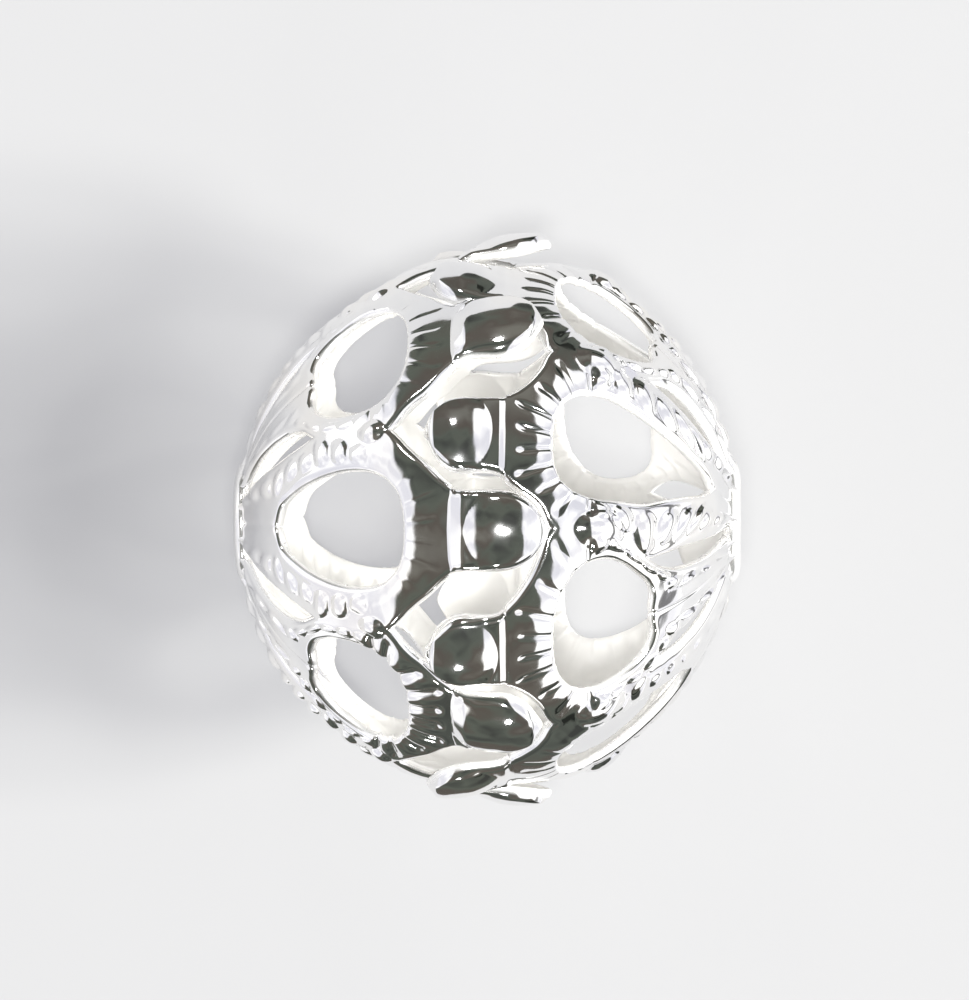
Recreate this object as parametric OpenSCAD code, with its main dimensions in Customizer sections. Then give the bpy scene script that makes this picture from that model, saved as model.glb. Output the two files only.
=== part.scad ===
// Filigree bead: two pierced half shells of thin sheet metal, each stamped with eight petals.
// Every petal carries a beaded rim round a teardrop opening, a ribbed band, a bar and a round
// boss on a tab. The tabs of one half reach between the petals of the other. The bead lies on
// three of its tab tips, as it does on a table, with its thread hole along the X axis.

/* [Bead] */
// Diameter over the tips of the tabs
bead_d = 16; // [13:0.5:18]
// Length over the two collars, along the thread hole
bead_l = 14.6; // [13:0.2:18]
// Diameter of the thread hole
hole_d = 1.2; // [0.8:0.1:1.8]
// Thickness of the sheet metal
sheet = 0.3; // [0.25:0.05:0.35]

/* [Petals] */
// Petals in each half, long and short ones in turn
petals = 8; // [8:2:10]
// Turn of one half's tabs off the middle between two petals, in degrees for eight petals
offset_turn = 3; // [0:0.5:3]
// How much the tabs flare out from the middle to their tips
flare = 0.54; // [0.5:0.02:0.6]
// Depth of the notch between two petals of the left half, from the middle plane
left_notch = 2.55; // [2.1:0.05:2.8]
// Depth of the notch between two petals of the right half, from the middle plane
right_notch = 2.05; // [2:0.05:2.8]

/* [Relief] */
// Height of the round boss on each tab
boss_h = 0.22; // [0.1:0.02:0.3]
// Height of the beads of the rope along each rim
bead_h = 0.2; // [0.12:0.02:0.26]
// Height of the rope between two of its beads
rope_h = 0.08; // [0.04:0.02:0.1]
// Height of the bar across each tab
bar_h = 0.1; // [0.04:0.02:0.16]

/* [Hidden] */

// The tables below are written for eight petals on a bead 16 mm across and 14.6 mm long.
wide = bead_d / 16;
long = bead_l / 14.6;
pitch = 360 / petals;
turn = pitch / 45;

// Shell without its relief: radius in the middle plane and distance of the pole
collar_lip = 0.1;
mid_r = bead_d / 2 - flare;
pole_d = bead_l / 2 - collar_lip;

// Outer edge of half a petal, from the collar to its tab, the same for long and short petals.
// Columns: distance from the middle plane, angle off the petal's centre line in degrees.
// The first eight rows follow the leaf gap beside the collar, the next four the seam with the
// next petal, then come the shoulder and the foot of the tab.
function outer_edge(notch) = [
    [7.09, 16], [6.93, 13.6], [6.66, 12.8], [6.32, 13], [5.90, 14], [5.50, 15.7], [5.11, 18.6], [4.70, 22.5],
    [4.18, 22.5], [3.65, 22.5], [3.05, 22.5], [notch, 22.5],
    [(notch + 1.5) / 2 - 0.05, 17.6], [1.46, 14.2], [1.08, 11.2], [0.78, 9], [0.82, 5.8], [0.84, 2.9], [0.85, 0]
];

// Edge of the opening of half a petal, row for row beside the outer edge, in the same columns.
// Angle 0 means that the petal is still closed there.
long_opening = [
    [7.09, 0], [6.93, 0], [6.66, 0], [6.32, 0], [5.92, 0], [5.66, 8.2], [5.18, 12.2], [4.68, 14],
    [4.18, 14.8], [3.65, 14.8], [3.12, 14], [2.74, 12.6], [2.49, 11], [2.30, 9.2], [2.18, 7.3], [2.11, 5.3],
    [2.07, 3.5], [2.055, 1.7], [2.05, 0]
];
short_opening = [
    [7.09, 0], [6.90, 0], [6.45, 0], [5.70, 0], [4.92, 0], [4.90, 6.5], [4.74, 11.2], [4.35, 14.6],
    [3.95, 16], [3.50, 16.6], [3.08, 16.1], [2.76, 14.8], [2.51, 12.9], [2.31, 10.6], [2.18, 8.3], [2.11, 6],
    [2.07, 3.9], [2.055, 1.9], [2.05, 0]
];

// First row of the edges that lies in the seam, at the notch, and at the foot of the tab
tip_row = 4;
leaf_row = 7;
notch_row = 11;
foot_row = 15;
last_row = 18;

// Reach of the tabs past the middle plane and half the width of their blunt tips in degrees
tab_reach = 1.78;
tip_half = 1.5;

// Tab beyond its foot. Columns: distance past the middle plane, half width in degrees
tab_rows = [
    [-0.60, 8.3], [-0.42, 8.1], [-0.15, 8], [0.15, 8.1], [0.50, 8.2], [0.85, 7.8], [1.17, 6.7], [1.47, 4.9],
    [tab_reach, tip_half]
];

// Boss on the tab: its centre past the middle plane and its radius
boss_at = 0.52;
boss_r = 0.98;
// Row of the tab that is the crest of the bar
bar_row = 0;

// Places of the rope's two shoulders across the rim, as fractions from the opening outwards.
// Columns: row, fraction
near_side = [[0, 0.55], [3.5, 0.5], [5, 0.2], [7, 0.18], [11, 0.14], [18, 0.12]];
far_side = [[0, 0.86], [4, 0.82], [6, 0.76], [8, 0.56], [10, 0.56], [12, 0.82], [18, 0.86]];

// Radius of the bare shell at a distance d from the middle plane, towards its own pole
function shell_r(d) =
    d > 0 ? mid_r * sqrt(1 - pow(d / pole_d, 2))
          : mid_r + flare * pow(d / (tab_reach * long), 2);

// Direction square to the shell there: share along the axis, share outwards
function square_off(d) =
    let (v = d > 0 ? [d / pow(pole_d, 2), shell_r(d) / pow(mid_r, 2)]
                   : [-2 * flare * d / pow(tab_reach * long, 2), 1])
    v / norm(v);

// Point on the shell at distance d and angle a, raised by h
function skin(d, a, h) =
    let (n = square_off(d), r = shell_r(d) + n[1] * h, turned = (a + 360) % 360)
    [d + n[0] * h, r * sin(turned), r * cos(turned)];

// Smooth curve through the rows of a table, at the place t between two rows
function curve(rows, t) =
    let (last = len(rows) - 1, i = min(floor(t), last - 1), f = t - i)
    f == 0 ? rows[i] : f == 1 ? rows[i + 1] :
    let (p0 = rows[max(i - 1, 0)], p1 = rows[i], p2 = rows[i + 1], p3 = rows[min(i + 2, last)])
    0.5 * (2 * p1 + (p2 - p0) * f + (2 * p0 - 5 * p1 + 4 * p2 - p3) * f * f
        + (3 * p1 - p0 - 3 * p2 + p3) * f * f * f);

// Places along the rim: every row and every middle between two rows up to the notch
places = [for (t = [0 : 0.5 : notch_row]) t, for (t = [notch_row + 1 : last_row]) t];

// 1 on a bead or rib, 0 between two of them
function swell(t) = t <= notch_row ? (t % 1 == 0.5 ? 1 : 0) : (t % 2 == 0 ? 1 : 0);

// A place on an edge in real sizes, held inside its own share of the ring
function on_edge(rows, t) =
    let (p = curve(rows, t))
    [p[0] * long, min(max(p[1], 0), 22.5) * turn];

// Rim of half a petal at place t: four points of the outer face, from the opening outwards
function rim_line(opening, outer, t) =
    let (a = on_edge(opening, t), b = on_edge(outer, t), s = swell(t),
         ribs = t > notch_row ? 1 : 0,
         h1 = rope_h + (bead_h - rope_h) * s,
         h2 = ribs == 1 ? 0.03 + 0.11 * s : h1,
         f1 = lookup(t, near_side), f2 = lookup(t, far_side))
    [[a[0], a[1], 0], concat(a + (b - a) * f1, [h1]), concat(a + (b - a) * f2, [h2]), [b[0], b[1], 0]];

// Height of the tab's relief at distance d past the middle plane, w across from its centre line
function tab_h(d, w, edge) =
    edge ? 0 : max(0, boss_h * (1 - (pow(d - boss_at, 2) + w * w) / pow(boss_r, 2)));

// One row of the tab: four points from the centre line to its edge
function tab_line(i) =
    let (d = tab_rows[i][0], half = tab_rows[i][1] * turn)
    [for (j = [0 : 3])
        let (a = half * j / 3, w = a * PI / 180 * mid_r / wide)
        [-d * long, a, i == bar_row && j < 3 ? bar_h : tab_h(d, w, j == 3)]];

// Faces of four corners between two lines of points
function strip(p, q) = [for (j = [0 : len(p) - 2]) [p[j], p[j + 1], q[j + 1], q[j]]];

// All faces of half a petal as rows of four corners [distance, angle, height]
function half_petal(opening, outer) =
    let (
        rim = [for (t = places) rim_line(opening, outer, t)],
        under = [for (l = rim) [[l[0][0], l[0][1], -sheet], [l[3][0], l[3][1], -sheet]]],
        n = len(places) - 1,
        foot = [for (k = [0 : 3]) rim[n - k][3]],
        tab = concat([foot], [for (i = [0 : len(tab_rows) - 1]) tab_line(i)]),
        tab_under = [for (l = tab) [for (p = l) [p[0], p[1], p[2] - sheet]]],
        end = len(tab) - 1
    )
    concat(
        [for (i = [0 : n - 1]) each strip(rim[i], rim[i + 1])],
        [for (i = [0 : n - 1]) each strip(under[i + 1], under[i])],
        [for (i = [0 : n - 1]) if (places[i] >= tip_row)
            [under[i][0], rim[i][0], rim[i + 1][0], under[i + 1][0]]],
        [for (i = [0 : n - 1])
            if (places[i] < leaf_row || (places[i] >= notch_row && places[i] < foot_row))
                [rim[i][3], under[i][1], under[i + 1][1], rim[i + 1][3]]],
        [[rim[0][0], under[0][0], under[0][1], rim[0][3]], [rim[0][3], rim[0][2], rim[0][1], rim[0][0]]],
        [for (i = [0 : end - 1]) each strip(tab[i], tab[i + 1])],
        [for (i = [0 : end - 1]) each strip(tab_under[i + 1], tab_under[i])],
        [for (i = [0 : end - 1]) [tab[i][3], tab_under[i][3], tab_under[i + 1][3], tab[i + 1][3]]],
        [for (j = [0 : 2]) [tab[end][j], tab[end][j + 1], tab_under[end][j + 1], tab_under[end][j]]]
    );

// The petals of one half, with the pole towards +X and a long petal straight up
module petal_ring(notch) {
    kinds = [half_petal(long_opening, outer_edge(notch)), half_petal(short_opening, outer_edge(notch))];
    quads = [
        for (p = [0 : petals - 1], side = [-1, 1])
            for (q = kinds[p % 2])
                [for (c = side < 0 ? q : [q[3], q[2], q[1], q[0]])
                    skin(c[0], pitch * p + side * c[1], c[2])]
    ];
    polyhedron(
        points = [for (q = quads) for (v = q) v],
        faces = [for (i = [0 : len(quads) - 1]) each [[4 * i, 4 * i + 1, 4 * i + 2], [4 * i, 4 * i + 2, 4 * i + 3]]]
    );
}

// Rolled ring round the thread hole that carries the feet of the petals
collar_r = 1.75 * wide;
collar_t = 0.5;
module collar() {
    rotate([0, 90, 0])
        rotate_extrude($fn = 64)
            translate([hole_d / 2, bead_l / 2 - collar_t])
                square([collar_r - hole_d / 2, collar_t]);
}

// One stamped half shell with its collar
module half_shell(notch) {
    petal_ring(notch);
    collar();
}

// The bead lies on the tip of one left tab and of the two right tabs beside it. Their three
// tips set how far the whole bead is tipped and rolled.
right_turn = pitch / 2 - offset_turn * turn;
function tip(side, a) =
    [side * tab_reach * long, -bead_d / 2 * sin(a), -bead_d / 2 * cos(a)];
rest_tips = [
    tip(1, 0),
    tip(-1, right_turn - tip_half * turn),
    tip(-1, right_turn - pitch + tip_half * turn)
];
rest_plane = cross(rest_tips[1] - rest_tips[0], rest_tips[2] - rest_tips[0]);
rest_down = rest_plane / norm(rest_plane) * (rest_plane[2] > 0 ? -1 : 1);
rest_roll = atan2(rest_down[1], -rest_down[2]);
rest_pitch = asin(rest_down[0]);
rest_h = rest_tips[0] * rest_down;

// Puts a piece of the bead down as it lies
module lying() {
    translate([0, 0, rest_h])
        rotate([0, rest_pitch, 0])
            rotate([-rest_roll, 0, 0])
                children();
}

module left_half() {
    color("silver") lying() rotate([0, 0, 180]) half_shell(left_notch);
}

module right_half() {
    color("silver") lying() rotate([-right_turn, 0, 0]) half_shell(right_notch);
}

left_half();
right_half();
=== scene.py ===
import math
from collections import namedtuple
import bpy
import numpy as np
from mathutils import Matrix, Vector


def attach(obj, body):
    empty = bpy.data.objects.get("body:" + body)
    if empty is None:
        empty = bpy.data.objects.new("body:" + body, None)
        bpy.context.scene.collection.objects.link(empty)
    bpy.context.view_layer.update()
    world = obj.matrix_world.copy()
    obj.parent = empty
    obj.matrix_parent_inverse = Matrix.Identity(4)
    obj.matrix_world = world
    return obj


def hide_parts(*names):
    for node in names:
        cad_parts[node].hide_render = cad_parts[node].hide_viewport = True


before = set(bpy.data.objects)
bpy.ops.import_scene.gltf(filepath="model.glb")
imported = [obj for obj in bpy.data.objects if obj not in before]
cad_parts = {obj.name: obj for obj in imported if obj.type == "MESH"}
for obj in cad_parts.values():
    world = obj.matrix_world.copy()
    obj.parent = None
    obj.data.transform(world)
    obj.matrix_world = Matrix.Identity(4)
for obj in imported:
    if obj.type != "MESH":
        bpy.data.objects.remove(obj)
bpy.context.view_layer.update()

# Filigree bead of two stamped half shells. Sizes are in millimetres and degrees, in the bead's
# own frame (thread hole along X, the left half's long petal straight up), until lay_down() puts
# the points where the CAD part lies, in metres. Each half is built with its pole towards +X.
# On a half, d is the distance from the middle plane towards the pole, a is the angle off a
# petal's centre line, and h is the height above the bare shell. Along a petal's rim, t is the
# place, counted in rows of its tables, and f is the share of the way from the opening's edge to
# the outer edge.

MM = 0.001
BEAD_D, BEAD_L, HOLE_D = 16.0, 14.6, 1.2
SHEET = 0.26
PETALS = 8
PITCH = 360.0 / PETALS
HALF_PITCH = PITCH / 2
# The right half's petals stand this far off the middle between two petals of the left half
OFFSET_TURN = 3.0
RIGHT_TURN = HALF_PITCH - OFFSET_TURN
# Tabs that the bead lies on: how far they reach past the middle plane, half the angle of a tip
TAB_REACH, TIP_HALF = 1.78, 1.5

# Bare shell: radius at the middle plane, and the distance at which its dome closes
MID_R, POLE_D = 7.68, BEAD_L / 2 - 0.1
# Swelling of the ribbed belt, which keeps it flatter than the bead's round outline
FLAT_H, FLAT_AT, FLAT_SPREAD = 0.15, 2.6, 0.9
# Distance at which a tab starts to slope outwards, and softness of that bend
FLARE_FROM, FLARE_BEND = 1.0, 0.3
# Seams turned towards the short petals near the pole
SEAM_TURN, SEAM_FROM, SEAM_TO = 6.0, 3.6, 5.6

# Rope round each opening: height of its bed and of its beads, share of its length that the beads
# fill, and how round they are
ROPE_BED_H, ROPE_H, BEAD_FILL, BEAD_ROUND = 0.02, 0.19, 0.94, 0.7
# Ribs take the rope's place from here on along the rim, over a soft stretch
RIBS_FROM, RIBS_SOFT = 8.8, 1.8
# Belt's fall towards the opening: its depth, its width and how steep it is
FALL_H, FALL_W, FALL_POWER = 0.104, 0.75, 2.2
# Grooves between the ribs: depth, sharpness, how much a deep one widens, how far past the rope's
# outer edge they end, and how softly
GROOVE_H, GROOVE_POWER, GROOVE_WIDEN, GROOVE_OVER, GROOVE_SOFT = 0.075, 5, 1.2, 0.05, 0.35
# Rope's outer edge. Columns: place along the rim, share of the rim's width
ROPE_FAR = [
    (0, 0.86), (4, 0.82), (6, 0.76), (8, 0.58), (9, 0.64), (10, 0.76), (12, 0.82), (18, 0.84)]
# Share of the width by which it lies further out beside the seams of a long petal, and where
WIDER, WIDER_FROM, WIDER_TO, WIDER_SOFT = 0.36, 6.7, 9.3, 0.5
# Groove along the seam: its width, and where it runs along the rim
SEAM_W, SEAM_START, SEAM_END, SEAM_SOFT = 0.07, 6.8, 11.2, 0.4
# Bevels: depth at the outer edges and its width on the rim and on a tab, then depth and width at
# the opening's edge
BEVEL_H, RIM_BEVEL_W, TAB_BEVEL_W = 0.07, 0.16, 0.15
OPEN_BEVEL_H, OPEN_BEVEL_W = 0.05, 0.12
# The rim's bevel runs out here, where the tab's foot starts
BEVEL_END, BEVEL_SOFT = 15.2, 0.6
# Dome on each tab: distance past the middle plane, height, and spread towards the tip
DOME_D, DOME_H, DOME_TO_TIP = 0.62, 0.25, 1.3
# Tabs longer than the full length bend inwards: how much, and from which distance on
TUCK, TUCK_FROM = 6, 1.3
# Softness of the step across a tab's foot
STEP_SOFT = 0.04
# Shares of the relief that the inner face of the rim and of a tab takes up
RIM_FOLLOW, TAB_FOLLOW = 0.75, 0.85
# Bulge of a rounded sheet edge, as a share of its thickness, and its steps
WALL_BULGE, WALL_STEPS = 0.32, 4
# Unevenness of the sheet: its size, and soft waves in it. Columns: length, size
UNEVEN = 0.012
WAVES = [(4.0, 0.5), (2.2, 0.4), (1.3, 0.3), (0.8, 0.22), (0.45, 0.14)]
WAVES_EACH, WAVES_SEED = 4, 7
# Marks of the faces for the material: outer face, collar, sheet edge and inner face
OUTER, RING, EDGE, INNER = 0.0, 0.2, 0.5, 1.0

# Distance from the middle plane at which all petals start, under the collar
START_D = 7.09
# Opening's edge of half a petal, row for row. Columns: distance from the middle plane, angle
LONG_OPENING = [
    (START_D, 0), (6.93, 0), (6.66, 0), (6.32, 0), (5.92, 0), (5.66, 8.2), (5.18, 12.2),
    (4.68, 14), (4.18, 14.8), (3.65, 14.8), (3.12, 14), (2.74, 12.6), (2.49, 11), (2.30, 9.2),
    (2.18, 7.3), (2.11, 5.3), (2.07, 3.5), (2.055, 1.7), (2.05, 0)]
LONGEST_OPENING = [
    (START_D, 0), (7.02, 0), (6.92, 0), (6.8, 0), (6.62, 0), (6.3, 6), (5.75, 9.3), (5.05, 11.8),
    (4.35, 13.8)] + LONG_OPENING[9:]
SHORT_OPENING = [
    (START_D, 0), (6.90, 0), (6.45, 0), (5.70, 0), (4.92, 0), (4.90, 6.5), (4.74, 11.2),
    (4.35, 14.6), (3.95, 16), (3.50, 16.6), (3.08, 16.1), (2.76, 14.8), (2.51, 12.9),
    (2.31, 10.6), (2.18, 8.3), (2.11, 6), (2.07, 3.9), (2.055, 1.9), (2.05, 0)]
# Rows at the opening's tip, the leaf gap's end, the notch, the tab's foot and the centre line
TIP_ROW, LEAF_ROW, NOTCH_ROW, FOOT_ROW, LAST_ROW = 4, 7, 11, 15, 18
# Points from one row to the next along the rim, and steps across its outer and inner face
STEPS = [2, 3, 5, 8, 9, 9, 9, 9, 9, 9, 9, 5, 5, 5, 5, 5, 5, 5]
ACROSS, ACROSS_IN = 21, 6
# Tab beyond its foot. Columns: distance past the middle plane, half width as an angle, bulge of
# the middle
TAB_ROWS = [
    (-0.60, 8.3, 0), (-0.42, 8.1, 0), (-0.15, 8.0, 0), (0.15, 8.1, 0), (0.50, 8.2, 0),
    (0.85, 7.8, 0.02), (1.17, 6.7, 0.04), (1.45, 4.9, 0.06), (1.66, 2.4, 0.1)]
TAB_STEPS = 4
# Shares of the way from the rim to the tab's first row, for the rows between them
FOOT_BLENDS = np.array([[0.25], [0.5], [0.75]])
# Weight of the distance to a tab's tip against the distance to its side
TIP_WEIGHT = 0.8
# Collar's profile. Columns: distance from the middle plane, how far beyond the hole's radius
COLLAR = [
    (6.86, 0.02), (6.80, 0.15), (6.79, 0.55), (6.82, 0.95), (6.90, 1.12), (7.02, 1.16),
    (7.14, 1.12), (7.22, 1.00), (7.27, 0.82), (7.30, 0.62), (7.30, 0.38), (7.27, 0.20),
    (7.18, 0.08), (7.05, 0.01), (6.95, 0.00), (6.86, 0.02)]
COLLAR_SIDES = 72

# Petal: outward slope of the tab, its length as a share of the full one, height of the rope's
# beads as a share of the full one, smooth band inside the rope as a share of the rim's width,
# depth of the belt's grooves as a share of the full one, and how far the dome spreads towards
# the tab's foot and across it
Petal = namedtuple("Petal", "slope length rope band groove to_foot to_side")
# Round bump where two ropes part: distance from the middle plane, radius and height
Bump = namedtuple("Bump", "d radius height")
# Sloping step across a tab's foot: where it starts and ends past the middle plane, and height
Step = namedtuple("Step", "start end height")
# Half shell: distance of its notches from the middle plane, bump, step, the opening of the petal
# that is straight up, and its petals in turn from that one
Half = namedtuple("Half", "notch bump step top_opening petals")
LEFT = Half(2.55, Bump(3.0, 0.36, 0.15), Step(-0.9, -0.4, 0.16), LONG_OPENING, [
    Petal(-0.02, 1.08, 0.5, 0.2, 0.15, 1, 1.15),
    Petal(0.08, 0.94, 0.5, 0.3, 1.8, 1.6, 1.15),
    Petal(0.10, 1, 0.7, 0.25, 1, 1, 1.15),
    Petal(0.13, 1, 0.8, 0.2, 1, 1, 1.15),
    Petal(0.13, 1, 0.8, 0.2, 1, 1, 1.15),
    Petal(0.13, 1, 0.8, 0.2, 1, 1, 1.15),
    Petal(0.165, 1, 0.5, 0.25, 0.8, 1, 1.15),
    Petal(0.06, 0.96, 0.2, 0.3, 0.3, 1.6, 1.15)])
RIGHT = Half(2.05, Bump(3.35, 0.66, 0.27), Step(-0.76, -0.55, 0.065), LONGEST_OPENING, [
    Petal(-0.03, 0.84, 0.8, 0.1, 1, 1, 1.3),
    Petal(0.05, 0.84, 0.65, 0.28, 1, 1, 1.15),
    Petal(0.13, 1, 0.7, 0.25, 1, 1, 1.15),
    Petal(0.13, 1, 0.8, 0.2, 1, 1, 1.15),
    Petal(0.13, 1, 0.8, 0.2, 1, 1, 1.15),
    Petal(0.13, 1, 0.8, 0.2, 1, 1, 1.15),
    Petal(0.13, 0.9, 0.35, 0.2, 0.3, 1, 1.15),
    Petal(-0.06, 0.84, 0.65, 0.28, 1, 1.14, 1.35)])
# Parts pushed round a little by hand or tool. Columns: turn, middle angle, spread of angle, and
# where along X it starts, is full, is full until, and ends
LEFT_TURNS = [(2.7, 45, 16, -1.4, -0.2, 8, 9)]
RIGHT_TURNS = [
    (3.5, -3, 10, 0.6, 1.8, 3.6, 4.8), (-2.5, -3, 9, 3.8, 5, 6.4, 7),
    (1.7, 19.5, 14, -9, -8, 0.2, 1.4), (-1.8, -25.5, 14, -9, -8, 0.2, 1.4)]


def smooth(x):
    """0 to 1 with a soft start and end."""
    x = np.clip(x, 0, 1)
    return x * x * (3 - 2 * x)


def stretch(t, start, end, soft):
    """1 between start and end, 0 outside, with soft ends inside the stretch."""
    return smooth((t - start) / soft) * smooth((end - t) / soft)


def dome(r):
    """1 in the middle of a round bump, 0 from r = 1 outwards."""
    return np.clip(1 - r ** 2, 0, 1)


def bevel(edge, width):
    """1 at an edge, 0 from a distance of width onwards."""
    return np.clip(1 - edge / width, 0, 1) ** 2


def along(t, rows):
    """Value at the places t, on straight lines between the rows (place, value) of a table."""
    return np.interp(t, *zip(*rows))


def curve(rows, t):
    """Smooth curve through the rows of a table at the places t."""
    p = np.array(rows, float)
    last = len(p) - 1
    i = np.clip(np.floor(t).astype(int), 0, last - 1)
    f = (t - i)[..., None]
    p0, p1 = p[np.clip(i - 1, 0, last)], p[i]
    p2, p3 = p[np.clip(i + 1, 0, last)], p[np.clip(i + 2, 0, last)]
    return 0.5 * (2 * p1 + (p2 - p0) * f + (2 * p0 - 5 * p1 + 4 * p2 - p3) * f ** 2
                  + (3 * p1 - p0 - 3 * p2 + p3) * f ** 3)


def shell_r(d, flare=0.0):
    """Radius of the bare shell at the distance d. flare is the outward slope of a tab."""
    side = MID_R * np.sqrt(np.clip(1 - (np.clip(d, 0, None) / POLE_D) ** 2, 0, 1))
    side = side + FLAT_H * np.exp(-((d - FLAT_AT) / FLAT_SPREAD) ** 2)
    bend = flare * (np.hypot(np.clip(FLARE_FROM - d, 0, None), FLARE_BEND) - FLARE_BEND)
    return np.where(d > 0, side, MID_R) + bend


def skin(d, a, h, flare=0.0):
    """Points on the shell at distance d and angle a, raised by h square to it."""
    r = shell_r(d, flare)
    away = np.clip(FLARE_FROM - d, 0, None)
    nx = np.clip(d, 0, None) / POLE_D ** 2 * MID_R + flare * away / np.hypot(away, FLARE_BEND)
    nr = np.where(d > 0, r / MID_R, 1.0)
    size = np.hypot(nx, nr)
    nx, nr = nx / size, nr / size
    r = r + nr * h
    a = np.radians(a)
    return np.stack([d + nx * h, r * np.sin(a), r * np.cos(a)], axis=-1)


def places():
    """Places along the rim, closer together where the rows lie further apart."""
    out = [0.0]
    for k, n in enumerate(STEPS):
        out += [k + (j + 1) / n for j in range(n)]
    return np.array(out)


def outer_edge(notch):
    """Outer edge of half a petal: leaf gap, seam, notch, shoulder and foot of the tab."""
    leaf = [
        (START_D, 17.6), (6.93, 16.6), (6.66, 16.5), (6.32, 16.7), (5.90, 17.3), (5.50, 18.3),
        (5.11, 20)]
    seam = [(d, HALF_PITCH) for d in (4.70, 4.18, 3.65, 3.05, notch)]
    foot = [
        ((notch + 1.4) / 2, 17.6), (1.46, 14.2), (1.08, 11.2), (0.78, 9), (0.82, 5.8), (0.84, 2.9),
        (0.85, 0)]
    return leaf + seam + foot


def rim_edges(t, opening, notch):
    """Opening's edge and outer edge of half a petal at the places t, kept inside the petal."""
    edge_in, edge_out = curve(opening, t), curve(outer_edge(notch), t)
    edge_in[:, 1] = np.clip(edge_in[:, 1], 0, HALF_PITCH)
    edge_out[:, 1] = np.clip(edge_out[:, 1], 0, HALF_PITCH)
    edge_out[(t >= LEAF_ROW) & (t <= NOTCH_ROW), 1] = HALF_PITCH
    edge_in[t <= TIP_ROW, 1] = 0
    edge_in[-1, 1] = edge_out[-1, 1] = 0
    return edge_in, edge_out


def off_crest(t):
    """0 on the crest of a bead or rib, 1 in the groove between two, along the rim.

    There is a bead between each two rows down to the notch, and then a rib at every second row.
    """
    crests = [0.5 + k for k in range(NOTCH_ROW)] + [12, 14, 16, LAST_ROW]
    phase = np.interp(t, crests, np.arange(len(crests)))
    return np.abs((phase + 0.5) % 1 - 0.5) * 2


def rope_edges(t, width, band, is_long):
    """Where the rope starts and ends across the rim, at the places t."""
    near_f = along(t, [
        (0, 0.55), (3.5, 0.5), (5, band + 0.1), (7.5, band), (10, 0.08), (LAST_ROW, 0.05)])
    far_f = along(t, ROPE_FAR)
    if is_long:
        far_f = far_f + WIDER * stretch(t, WIDER_FROM, WIDER_TO, WIDER_SOFT)
    return near_f * width, far_f * width


def rope_height(u, near, far, off):
    """Rope between near and far: a chain of round beads on a low bed. u runs across the rim."""
    mid, half = (near + far) / 2, (far - near) / 2
    x = np.clip(np.abs(u - mid) / half, 0, 1)
    bead = np.clip(1 - (off / BEAD_FILL) ** 2 - x ** 2, 0, 1)
    return ROPE_BED_H * (1 - x ** 2) + ROPE_H * bead ** BEAD_ROUND


def belt_height(u, far, off, share):
    """Ribs that fall away towards the opening; the grooves between them stay level for longer."""
    fall = FALL_H * np.clip(1 - u / FALL_W, 0, 1) ** FALL_POWER
    power = GROOVE_POWER / max(share, 1) ** GROOVE_WIDEN
    end = smooth((far + GROOVE_OVER - u) / GROOVE_SOFT)
    groove = share * GROOVE_H * np.clip(off, 0, 1) ** power * end
    return -fall - groove


def tab_relief(d, w, edge, step, petal):
    """Height of a tab at distance d past the middle plane, w across, edge away from its rim."""
    rise = step.height * along(d, [
        (step.start, 0), (step.start + STEP_SOFT, 0.03), (step.end - STEP_SOFT, 0.97),
        (step.end, 1)])
    x = d - DOME_D
    r = np.hypot(np.where(x > 0, x / DOME_TO_TIP, x / petal.to_foot), w / petal.to_side)
    boss = DOME_H * dome(r)
    tuck = TUCK * max(petal.length - 1, 0) * np.clip(d - TUCK_FROM, 0, 1) ** 2
    return rise + boss * smooth(edge / TAB_BEVEL_W) - BEVEL_H * bevel(edge, TAB_BEVEL_W) - tuck


def seam_turn(d, a, f, is_long):
    """Angle a off a petal's centre line, turned with the seams near the pole."""
    turn = SEAM_TURN * smooth((d - SEAM_FROM) / (SEAM_TO - SEAM_FROM)) * f
    return a + turn if is_long else a - turn


def rounded_wall(top, under, top_in, under_in, flat=()):
    """Rounded edge between the outer and the inner face, straight at the places in flat.

    The _in points are the faces' next ones inside the sheet.
    """
    out = (top - top_in) + (under - under_in)
    out = out / np.maximum(np.linalg.norm(out, axis=-1, keepdims=True), 1e-9)
    thick = np.linalg.norm(top - under, axis=-1, keepdims=True)
    thick[list(flat)] = 0
    cols = []
    for k in range(WALL_STEPS + 1):
        s = k / WALL_STEPS
        cols.append(top + (under - top) * s + out * thick * WALL_BULGE * math.sin(math.pi * s))
    return np.stack(cols, axis=1)


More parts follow.
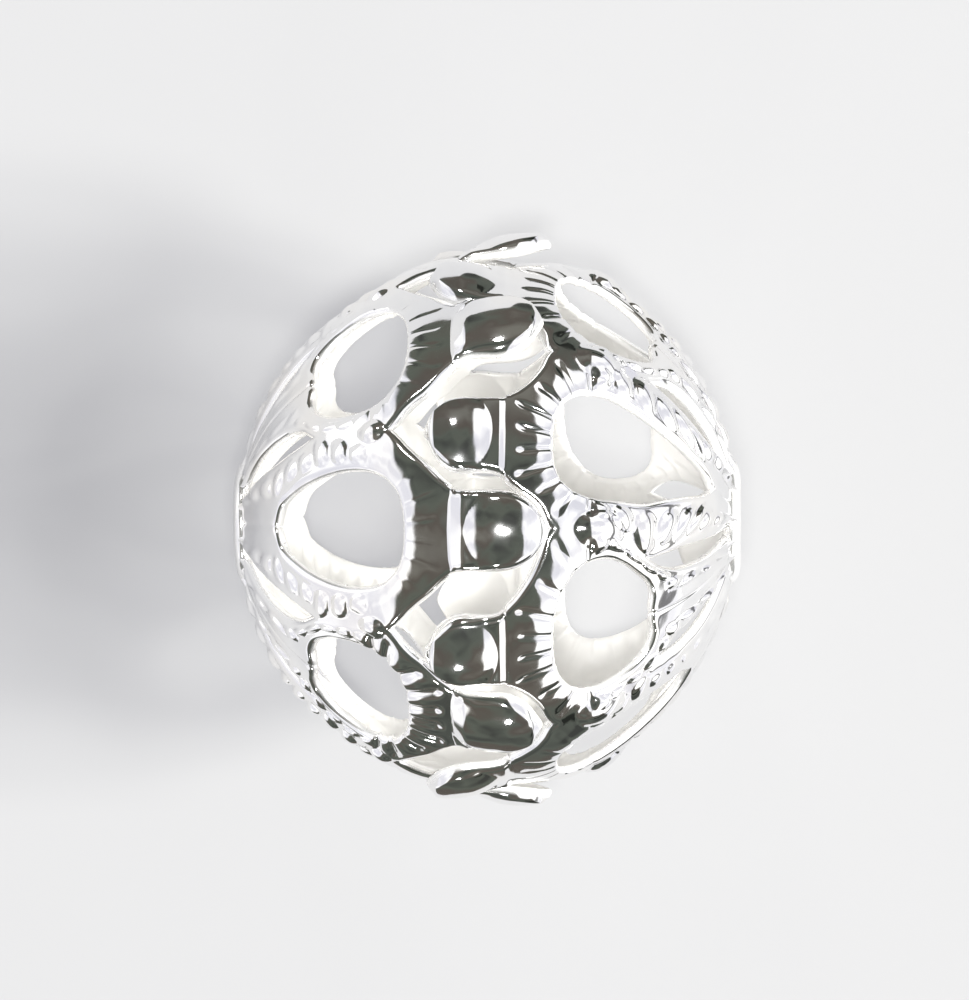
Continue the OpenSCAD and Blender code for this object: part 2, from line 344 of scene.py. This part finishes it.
class HalfPetal:
    """Half a petal and half its tab, for angles from 0 upwards.

    rim() and tab() give its faces as grids of points in the order of turning, with their marks.
    """

    def __init__(self, half, number):
        self.half, self.petal, self.is_long = half, half.petals[number], number % 2 == 0
        opening = LONG_OPENING if self.is_long else SHORT_OPENING
        if number == 0:
            opening = half.top_opening
        self.t = places()
        self.edge_in, self.edge_out = rim_edges(self.t, opening, half.notch)
        self.rise = self.edge_out - self.edge_in
        r = shell_r(self.edge_in[:, 0])
        self.width = np.hypot(self.rise[:, 0], np.radians(self.rise[:, 1]) * r)
        self.top = self.rim_face(ACROSS, 1, 0)
        self.under = self.rim_face(ACROSS_IN, RIM_FOLLOW, SHEET)

    def relief(self, t, f, d, a, width):
        """Height of the rim's outer face: a rope near the pole, ribs in the belt."""
        petal, bump = self.petal, self.half.bump
        u, to_edge = f * width, (1 - f) * width
        off = off_crest(t)
        near, far = rope_edges(t, width, petal.band, self.is_long)
        ribs = smooth((t - RIBS_FROM) / RIBS_SOFT)
        rope = petal.rope * rope_height(u, near, far, off)
        h = rope * (1 - ribs) + belt_height(u, far, off, petal.groove) * ribs
        h = h - OPEN_BEVEL_H * (1 - ribs) * bevel(u, OPEN_BEVEL_W)
        # Round bump where the ropes of two petals part
        away = np.hypot(d - bump.d, np.radians(HALF_PITCH - a) * MID_R) / bump.radius
        h = h * smooth(away) + bump.height * dome(away)
        # Groove along the seam, and a bevel at the free outer edges
        seam = stretch(t, SEAM_START, SEAM_END, SEAM_SOFT)
        h = h * (1 - seam * bevel(to_edge, SEAM_W) * np.where(away < 1, 0, 1))
        free = bevel(to_edge, RIM_BEVEL_W) * (1 - seam) * smooth((BEVEL_END - t) / BEVEL_SOFT)
        return h - BEVEL_H * free

    def rim_face(self, across, follow, depth):
        """Face of the rim that takes up a share of the relief, at a depth under the outer one."""
        f = np.linspace(0, 1, across + 1)[None, :]
        d = self.edge_in[:, :1] + self.rise[:, :1] * f
        a = self.edge_in[:, 1:] + self.rise[:, 1:] * f
        h = self.relief(self.t[:, None], f, d, a, self.width[:, None])
        return skin(d, seam_turn(d, a, f, self.is_long), h * follow - depth)

    def rim(self):
        """Both faces, and the sheet's edge at the opening, at the leaf gap and below the notch."""
        t, top, under = self.t, self.top, self.under
        wall = rounded_wall(top[:, 0], under[:, 0], top[:, 1], under[:, 1])
        parts = [(top, OUTER), (under[:, ::-1], INNER), (wall[t >= TIP_ROW][:, ::-1], EDGE)]
        for keep in (t <= LEAF_ROW, (t >= NOTCH_ROW) & (t <= FOOT_ROW)):
            rows = top[keep], under[keep]
            wall = rounded_wall(*(r[:, -1] for r in rows), *(r[:, -2] for r in rows), (0, -1))
            parts.append((wall, EDGE))
        return parts

    def tab_places(self, cols):
        """Distances past the middle plane and angles of the tab's points, from the rim to the tip.

        Its columns carry on from the rim's places, from the centre line to the side.
        """
        share = (LAST_ROW - self.t[cols]) / (LAST_ROW - FOOT_ROW)
        rows = curve(TAB_ROWS, np.arange(TAB_STEPS * (len(TAB_ROWS) - 1) + 1) / TAB_STEPS)
        d = rows[:, :1] + rows[:, 2:] * (1 - share[None, :] ** 2)
        d = np.where(d > 0, d * self.petal.length, d)
        a = rows[:, 1:2] * share[None, :]
        foot_d, foot_a = -self.edge_out[cols, 0][None, :], self.edge_out[cols, 1][None, :]
        d = np.concatenate([foot_d, foot_d + (d[:1] - foot_d) * FOOT_BLENDS, d])
        a = np.concatenate([foot_a, foot_a + (a[:1] - foot_a) * FOOT_BLENDS, a])
        return d, a

    def tab(self):
        """Both faces, and the sheet's edge at the side and the tip."""
        cols = np.flatnonzero(self.t >= FOOT_ROW)[::-1]
        d, a = self.tab_places(cols)
        w = np.radians(a) * MID_R
        edge = np.minimum(w[:, -1:] - w, (d[-1:, :] - d) * TIP_WEIGHT)
        h = tab_relief(d, w, edge, self.half.step, self.petal)
        # The first row is the rim's own edge
        h[0] = self.relief(self.t[cols], np.ones(len(cols)), *self.edge_out[cols].T,
                           self.width[cols])
        top = skin(-d, a, h, self.petal.slope)
        under = skin(-d, a, h * TAB_FOLLOW - SHEET, self.petal.slope)
        under[0] = self.under[cols, -1]
        side = rounded_wall(top[:, -1], under[:, -1], top[:, -2], under[:, -2], (0, -1))
        tip = rounded_wall(top[-1], under[-1], top[-2], under[-2], (-1,))
        return [(top, OUTER), (under[:, ::-1], INNER), (side, EDGE), (tip[::-1], EDGE)]


class Shape:
    """Gathers grids of points into one mesh."""

    def __init__(self):
        self.points, self.faces, self.marks, self.count = [], [], [], 0

    def grid(self, pts, mark):
        """Adds a grid of points and its quads, with the mark for the material."""
        n, m = pts.shape[:2]
        ids = self.count + np.arange(n * m).reshape(n, m)
        quads = np.stack([ids[:-1, :-1], ids[:-1, 1:], ids[1:, 1:], ids[1:, :-1]], axis=-1)
        self.points.append(pts.reshape(-1, 3))
        self.faces.append(quads.reshape(-1, 4))
        self.marks.append(np.full(n * m, mark))
        self.count += n * m

    def arrays(self):
        return np.concatenate(self.points), np.concatenate(self.faces), np.concatenate(self.marks)


def turn_about_x(pts, degrees):
    """Points turned about the thread hole's axis."""
    c, s = math.cos(math.radians(degrees)), math.sin(math.radians(degrees))
    return pts @ np.array([[1, 0, 0], [0, c, -s], [0, s, c]]).T


def collar(shape):
    """Rolled ring round the thread hole, turned from a short profile."""
    x, r = np.array(COLLAR).T[:, :, None]
    r = r + HOLE_D / 2
    turn = np.radians(np.linspace(0, 360, COLLAR_SIDES + 1))[None, :]
    ring = np.broadcast_arrays(x, r * np.sin(turn), r * np.cos(turn))
    shape.grid(np.stack(ring, axis=-1), RING)


def half_shell(half):
    """All petals and the collar of one half, with the pole towards +X and a long petal up."""
    shape = Shape()
    for number in range(PETALS):
        petal = HalfPetal(half, number)
        parts = petal.rim() + petal.tab()
        for side in (1, -1):
            for pts, mark in parts:
                pts = turn_about_x(pts * np.array([1, side, 1]), -PITCH * number)
                shape.grid(pts if side > 0 else pts[:, ::-1], mark)
    collar(shape)
    return shape.arrays()


def pushed(pts, turns):
    """Points of a half in the bead's frame, with some parts turned a little about the X axis."""
    x = pts[:, 0]
    a = np.degrees(np.arctan2(pts[:, 1], pts[:, 2]))
    turn = np.zeros(len(pts))
    for by, at, spread, start, full, until, end in turns:
        near = np.exp(-((a - at) / spread) ** 2)
        turn += by * near * smooth((x - start) / (full - start)) * smooth((end - x) / (end - until))
    c, s = np.cos(np.radians(turn)), np.sin(np.radians(turn))
    return np.stack([x, pts[:, 1] * c + pts[:, 2] * s, pts[:, 2] * c - pts[:, 1] * s], axis=-1)


def uneven(pts):
    """Points moved in and out with the soft waves of the pressed sheet."""
    rng = np.random.default_rng(WAVES_SEED)
    out = np.zeros(len(pts))
    for length, size in WAVES:
        for _ in range(WAVES_EACH):
            way = rng.normal(size=3)
            way = way / np.linalg.norm(way) * 2 * math.pi / length
            out += size / 2 * np.sin(pts @ way + rng.uniform(0, 2 * math.pi))
    r = np.linalg.norm(pts, axis=1, keepdims=True)
    return pts * (1 + UNEVEN * out[:, None] / r)


def rest_frame():
    """Roll, pitch and height of the bead as it lies on three tab tips, as in the CAD part."""
    def tip(side, a):
        a = math.radians(a)
        return np.array([side * TAB_REACH, -BEAD_D / 2 * math.sin(a), -BEAD_D / 2 * math.cos(a)])
    tips = [tip(1, 0), tip(-1, RIGHT_TURN - TIP_HALF), tip(-1, RIGHT_TURN - PITCH + TIP_HALF)]
    down = np.cross(tips[1] - tips[0], tips[2] - tips[0])
    down = down / np.linalg.norm(down) * (-1 if down[2] > 0 else 1)
    roll, pitch = math.atan2(down[1], -down[2]), math.asin(down[0])
    return roll, pitch, float(tips[0] @ down)


ROLL, PITCH_DOWN, HEIGHT = rest_frame()
LIE = (Matrix.Translation((0, 0, HEIGHT * MM)) @ Matrix.Rotation(PITCH_DOWN, 4, "Y")
       @ Matrix.Rotation(-ROLL, 4, "X"))
# Points lower than this above the floor are pressed together
SOFT_FLOOR = 0.3 * MM


def lay_down(pts):
    """Points in the bead's frame, in millimetres, to the place where the bead lies, in metres."""
    m = np.array(LIE)
    return (pts * MM) @ m[:3, :3].T + m[:3, 3]


def above_floor(pts):
    """Points in metres, with the lowest ones pressed flat so that none is below the floor."""
    z = pts[:, 2]
    low = SOFT_FLOOR * np.exp((np.minimum(z, SOFT_FLOOR) - SOFT_FLOOR) / SOFT_FLOOR)
    return np.column_stack([pts[:, :2], np.where(z < SOFT_FLOOR, low, z)])


def weld(pts, quads, marks):
    """Points joined where they agree to four decimals, and what is then left of the quads."""
    _, first, index = np.unique(np.round(pts, 4), axis=0, return_index=True, return_inverse=True)
    faces = []
    for quad in index.reshape(-1)[quads].tolist():
        face = [v for k, v in enumerate(quad) if v != quad[k - 1]]
        if len(set(face)) == len(face) and len(face) > 2:
            faces.append(face)
    return pts[first], faces, marks[first]


def add_object(name, points, faces, material=None):
    """New mesh object in the scene."""
    mesh = bpy.data.meshes.new(name)
    mesh.from_pydata(points, [], faces)
    if material:
        mesh.materials.append(material)
    item = bpy.data.objects.new(name, mesh)
    bpy.context.scene.collection.objects.link(item)
    return item


def add_shell(name, pts, quads, marks, material):
    """One welded half shell, laid down and smooth shaded, with its marks for the material."""
    pts, faces, marks = weld(pts, quads, marks)
    piece = add_object(name, above_floor(lay_down(uneven(pts))).tolist(), faces, material)
    mesh = piece.data
    inner_face = mesh.attributes.new("inner_face", "FLOAT", "POINT")
    inner_face.data.foreach_set("value", marks.astype(np.float32))
    mesh.polygons.foreach_set("use_smooth", np.ones(len(mesh.polygons), dtype=bool))
    mesh.validate()
    mesh.update()
    return piece


class Nodes:
    """Adds nodes to a material or the world. Values are numbers, colours or nodes' outputs."""

    def __init__(self, tree, coordinates):
        self.tree = tree
        self.coordinates = self.add("TexCoord").outputs[coordinates]

    def add(self, kind):
        return self.tree.nodes.new("ShaderNode" + kind)

    def put(self, value, socket):
        """Links a node's output to the socket, or sets the socket to a number or colour."""
        if isinstance(value, bpy.types.NodeSocket):
            self.tree.links.new(value, socket)
        else:
            socket.default_value = value

    def noise(self, scale, detail, rough=0.5):
        node = self.add("TexNoise")
        for name, value in (("Vector", self.coordinates), ("Scale", scale), ("Detail", detail),
                            ("Roughness", rough)):
            self.put(value, node.inputs[name])
        return node.outputs["Fac"]

    def ramp(self, value, stops):
        """Blend between stops. Columns: place, and a colour or grey."""
        node = self.add("ValToRGB")
        elements = node.color_ramp.elements
        while len(elements) < len(stops):
            elements.new(0.5)
        for element, (place, colour) in zip(elements, stops):
            element.position = place
            element.color = (*(colour if isinstance(colour, tuple) else (colour,) * 3), 1)
        self.put(value, node.inputs["Fac"])
        return node.outputs["Color"]

    def span(self, value, low, high, to_low=0.0, to_high=1.0):
        """Value mapped from low to high onto to_low to to_high, and held at the ends."""
        node = self.add("MapRange")
        for name, number in (("Value", value), ("From Min", low), ("From Max", high),
                             ("To Min", to_low), ("To Max", to_high)):
            self.put(number, node.inputs[name])
        return node.outputs["Result"]

    def maths(self, kind, *values):
        node = self.add("Math")
        node.operation = kind
        for socket, value in zip(node.inputs, values):
            self.put(value, socket)
        return node.outputs["Value"]

    def mix(self, factor, a, b, blend="MIX"):
        node = self.add("Mix")
        node.data_type, node.blend_type = "RGBA", blend
        for name, value in (("Factor", factor), ("A", a), ("B", b)):
            self.put(value, node.inputs[name])
        return node.outputs["Result"]


def new_material(name):
    """New material, its shader and its nodes."""
    mat = bpy.data.materials.new(name)
    mat.use_nodes = True
    return mat, mat.node_tree.nodes["Principled BSDF"], Nodes(mat.node_tree, "Object")


# Tints of the metal outside and inside. Columns: place in the noise, colour
TARNISH = [(0.3, (0.86, 0.86, 0.87)), (0.5, (0.94, 0.935, 0.93)), (0.7, (0.96, 0.94, 0.91))]
MATT = [(0.3, (0.79, 0.78, 0.76)), (0.7, (0.86, 0.85, 0.83))]
# Roughness of the metal where it is best and worst polished, what the inside adds to it, and how
# much less metallic the inside is
POLISH, DULLER, LESS_METAL = (0.05, 0.11), 0.4, 0.85


def silver():
    """Bright plated metal: faint tarnish, uneven polish and fine scratches, duller inside."""
    mat, shader, nodes = new_material("bright_silver_plate")
    inside = nodes.add("Attribute")
    inside.attribute_name = "inner_face"
    inside = inside.outputs["Fac"]
    colour = nodes.ramp(nodes.noise(420, 3), TARNISH)
    matt = nodes.ramp(nodes.noise(700, 4), MATT)
    nodes.put(nodes.mix(inside, colour, matt), shader.inputs["Base Color"])
    shader.inputs["Metallic"].default_value = 1.0
    less = nodes.maths("MULTIPLY", inside, LESS_METAL)
    nodes.put(nodes.maths("SUBTRACT", 1.0, less), shader.inputs["Metallic"])
    polish = nodes.span(nodes.noise(900, 4, 0.6), 0.3, 0.7, *POLISH)
    dull = nodes.maths("MULTIPLY", inside, DULLER)
    nodes.put(nodes.maths("ADD", polish, dull), shader.inputs["Roughness"])
    scratches = nodes.add("Bump")
    for name, value in (("Strength", 0.05), ("Distance", 0.00003),
                        ("Height", nodes.noise(2600, 3, 0.6))):
        nodes.put(value, scratches.inputs[name])
    nodes.put(scratches.outputs["Normal"], shader.inputs["Normal"])
    return mat


def pale_card():
    """Matt pale card with faint blotches and a little glow of its own."""
    mat, shader, nodes = new_material("pale_card")
    blotches = nodes.ramp(nodes.noise(60, 3), [
        (0.0, (0.147, 0.147, 0.144)), (1.0, (0.156, 0.156, 0.153))])
    for name, value in (("Base Color", blotches), ("Roughness", 0.8), ("Specular IOR Level", 0.2),
                        ("Emission Color", (0.95, 0.95, 1.0, 1)), ("Emission Strength", 0.43)):
        nodes.put(value, shader.inputs[name])
    return mat


def build_bead():
    """Both half shells, each in place of its solid."""
    plate = silver()
    pts, quads, marks = half_shell(LEFT)
    pts = pushed(pts * np.array([-1, -1, 1]), LEFT_TURNS)
    left_piece = add_shell("left_half_shell", pts, quads, marks, plate)
    pts, quads, marks = half_shell(RIGHT)
    pts = pushed(turn_about_x(pts, -RIGHT_TURN), RIGHT_TURNS)
    right_piece = add_shell("right_half_shell", pts, quads, marks, plate)
    for piece, node in ((left_piece, "left_half"), (right_piece, "right_half")):
        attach(piece, "root")
        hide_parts(node)


# Photograph's frame in pixels, the bead's centre and scale in it
IMAGE_W, IMAGE_H = 969, 1000
CENTRE_PX = (488.0, 521.5)
PX_PER_MM = 34.56
# Camera: distance in millimetres, lean towards the right end, roll about the thread hole
CAMERA_MM = 160.0
CAMERA_LEAN, CAMERA_ROLL = 2.2, 1.7
SENSOR_H = 24


def make_camera():
    """Camera square to the thread hole, leaning a little towards the bead's right end."""
    lean, roll = math.radians(CAMERA_LEAN), math.radians(CAMERA_ROLL)
    sin_lean, cos_lean = math.sin(lean), math.cos(lean)
    away = Vector((sin_lean, cos_lean * math.sin(roll), cos_lean * math.cos(roll)))
    right = Vector((cos_lean, -sin_lean * math.sin(roll), -sin_lean * math.cos(roll)))
    up = away.cross(right)
    dx = (IMAGE_W / 2 - CENTRE_PX[0]) / PX_PER_MM
    dy = (CENTRE_PX[1] - IMAGE_H / 2) / PX_PER_MM
    m = Matrix((right, up, away)).transposed().to_4x4()
    m.translation = (away * CAMERA_MM + right * dx + up * dy) * MM
    cam_data = bpy.data.cameras.new("camera")
    cam_data.sensor_fit = "VERTICAL"
    cam_data.sensor_height = SENSOR_H
    cam_data.lens = SENSOR_H * CAMERA_MM / (IMAGE_H / PX_PER_MM)
    cam_data.clip_start, cam_data.clip_end = 0.005, 20
    cam = bpy.data.objects.new("camera", cam_data)
    bpy.context.scene.collection.objects.link(cam)
    cam.matrix_world = LIE @ m
    bpy.context.scene.camera = cam


# Corners of the card that the bead lies on and of the wide floor round it, in the same order,
# in millimetres
CARD = [(-60, -18), (60, -18), (60, 28), (4, 28), (0, 45), (-60, 45)]
WIDE = [(-4000, -4000), (4000, -4000), (4000, 4000), (300, 4000), (250, 4000), (-4000, 4000)]


def make_floor():
    """Card that the bead lies on, and a wide floor round it that reflections don't see."""
    mat = pale_card()
    n = len(CARD)
    ring = [(k, (k + 1) % n, (k + 1) % n + n, k + n) for k in range(n)]
    for name, corners, faces in (("floor", WIDE + CARD, ring), ("card", CARD, [tuple(range(n))])):
        plane = add_object(name, [(x * MM, y * MM, 0) for x, y in corners], faces, mat)
        plane.visible_glossy = name == "card"


# Studio that the metal reflects, as stops of ramps. Columns: place, and a colour or grey. First
# the pale walls and the dark cloth overhead, both blotched by a noise
WALLS = [(0.38, (0.52, 0.52, 0.56)), (0.62, (0.86, 0.86, 0.85))]
CLOTH = [
    (0.30, (0.035, 0.037, 0.034)), (0.44, (0.070, 0.078, 0.066)), (0.55, (0.068, 0.060, 0.052)),
    (0.70, (0.115, 0.112, 0.098))]
# Where the cloth (1) hangs between the walls (0), from the left to the right
STRIP = [(0.0, 0.0), (0.135, 0.0), (0.165, 1.0), (0.625, 1.0), (0.645, 0.0), (1.0, 0.0)]
# Towards the front and the back: how much nearer the middle the cloth's left edge lies, and how
# much further right the cloth reaches low down
LEFT_BEND, RIGHT_REACH = 0.3, 0.4
# Darker line round the right side, from 30 degrees below the horizon (0) to 30 above it (1)
LINE = [(0.0, 1.0), (0.38, 1.0), (0.41, 0.2), (0.50, 0.2), (0.53, 1.0), (1.0, 1.0)]
LINE_FROM_X = 0.3
STUDIO_POWER = 1.6
# Background that the camera sees, from the horizon up to a low height
BACKDROP = [(0.0, (0.54, 0.54, 0.565)), (1.0, (0.86, 0.87, 0.87))]
BACKDROP_TOP = 0.09


def strip_place(nodes, x, y, z):
    """Place of a direction across the strip, shifted so that the strip's edges bend."""
    bend = nodes.maths("MULTIPLY", nodes.maths("MINIMUM", x, 0.0), LEFT_BEND)
    left = nodes.maths("MULTIPLY", nodes.maths("MULTIPLY", y, y), bend)
    low = nodes.maths("MULTIPLY", nodes.span(y, 0.5, 0.7), nodes.span(z, 0.3, 0.15))
    shift = nodes.maths("MULTIPLY", nodes.maths("GREATER_THAN", x, 0.0), -RIGHT_REACH)
    right = nodes.maths("MULTIPLY", low, shift)
    return nodes.maths("ADD", nodes.maths("ADD", x, left), right)


def make_world():
    """Pale studio all round with a dark strip overhead, from the front to the back."""
    world = bpy.data.worlds.new("studio")
    bpy.context.scene.world = world
    world.use_nodes = True
    nodes = Nodes(world.node_tree, "Generated")
    split = nodes.add("SeparateXYZ")
    nodes.put(nodes.coordinates, split.inputs["Vector"])
    x, y, z = (split.outputs[axis] for axis in "XYZ")
    strip = nodes.span(strip_place(nodes, x, nodes.maths("ABSOLUTE", y), z), -1, 1)
    blotches = nodes.noise(1.6, 2)
    room = nodes.mix(nodes.ramp(strip, STRIP), nodes.ramp(blotches, WALLS),
                     nodes.ramp(blotches, CLOTH))
    line = nodes.ramp(nodes.span(z, -0.5, 0.5), LINE)
    room = nodes.mix(nodes.maths("GREATER_THAN", x, LINE_FROM_X), room, line, "MULTIPLY")
    reflected, end = (world.node_tree.nodes[name] for name in ("Background", "World Output"))
    nodes.put(room, reflected.inputs["Color"])
    nodes.put(STUDIO_POWER, reflected.inputs["Strength"])
    seen, ray, both = (nodes.add(kind) for kind in ("Background", "LightPath", "MixShader"))
    nodes.put(nodes.ramp(nodes.span(z, 0, BACKDROP_TOP), BACKDROP), seen.inputs["Color"])
    nodes.put(ray.outputs["Is Camera Ray"], both.inputs["Fac"])
    nodes.put(reflected.outputs["Background"], both.inputs[1])
    nodes.put(seen.outputs["Background"], both.inputs[2])
    nodes.put(both.outputs["Shader"], end.inputs["Surface"])


# Square lamps, in metres, all aimed at the bead's middle: a key from the right and three small
# ones for the glints. Columns: name, place, side, power in watts, colour
AIM = (0, 0, 0.008)
WHITE = (1, 1, 1)
LAMPS = [
    ("key_right", (0.40, -0.027, 0.27), 0.12, 5.2, (1.0, 0.995, 0.95)),
    ("lamp_over", (-0.022, 0.004, 0.2), 0.022, 0.4, WHITE),
    ("lamp_back", (-0.04, 0.155, 0.125), 0.02, 0.03, WHITE),
    ("lamp_front", (-0.03, -0.178, 0.1), 0.02, 0.03, WHITE)]
# Flag between lamp_over and the floor beside the bead's left end: an oval's middle and radii, in
# metres, and its sides
FLAG_AT, FLAG_R, FLAG_SIDES = (-0.0142, 0.0015, 0.046), (0.003, 0.0042), 24


def make_lamps():
    """Lamps of the table, each turned to the bead."""
    for name, place, side, power, colour in LAMPS:
        data = bpy.data.lights.new(name, "AREA")
        data.shape, data.size = "SQUARE", side
        data.energy, data.color = power, colour
        lamp = bpy.data.objects.new(name, data)
        lamp.location = place
        lamp.rotation_euler = (Vector(AIM) - Vector(place)).to_track_quat("-Z", "Y").to_euler()
        bpy.context.scene.collection.objects.link(lamp)


def make_flag():
    """Flat oval that only shades: neither the camera nor the metal sees it."""
    x, y, z = FLAG_AT
    turns = [2 * math.pi * k / FLAG_SIDES for k in range(FLAG_SIDES)]
    points = [(x + FLAG_R[0] * math.cos(t), y + FLAG_R[1] * math.sin(t), z) for t in turns]
    flag = add_object("flag", points, [tuple(range(FLAG_SIDES))])
    flag.visible_camera = flag.visible_glossy = False


build_bead()
make_camera()
make_floor()
make_world()
make_lamps()
make_flag()
bpy.context.scene.view_settings.view_transform = "Standard"
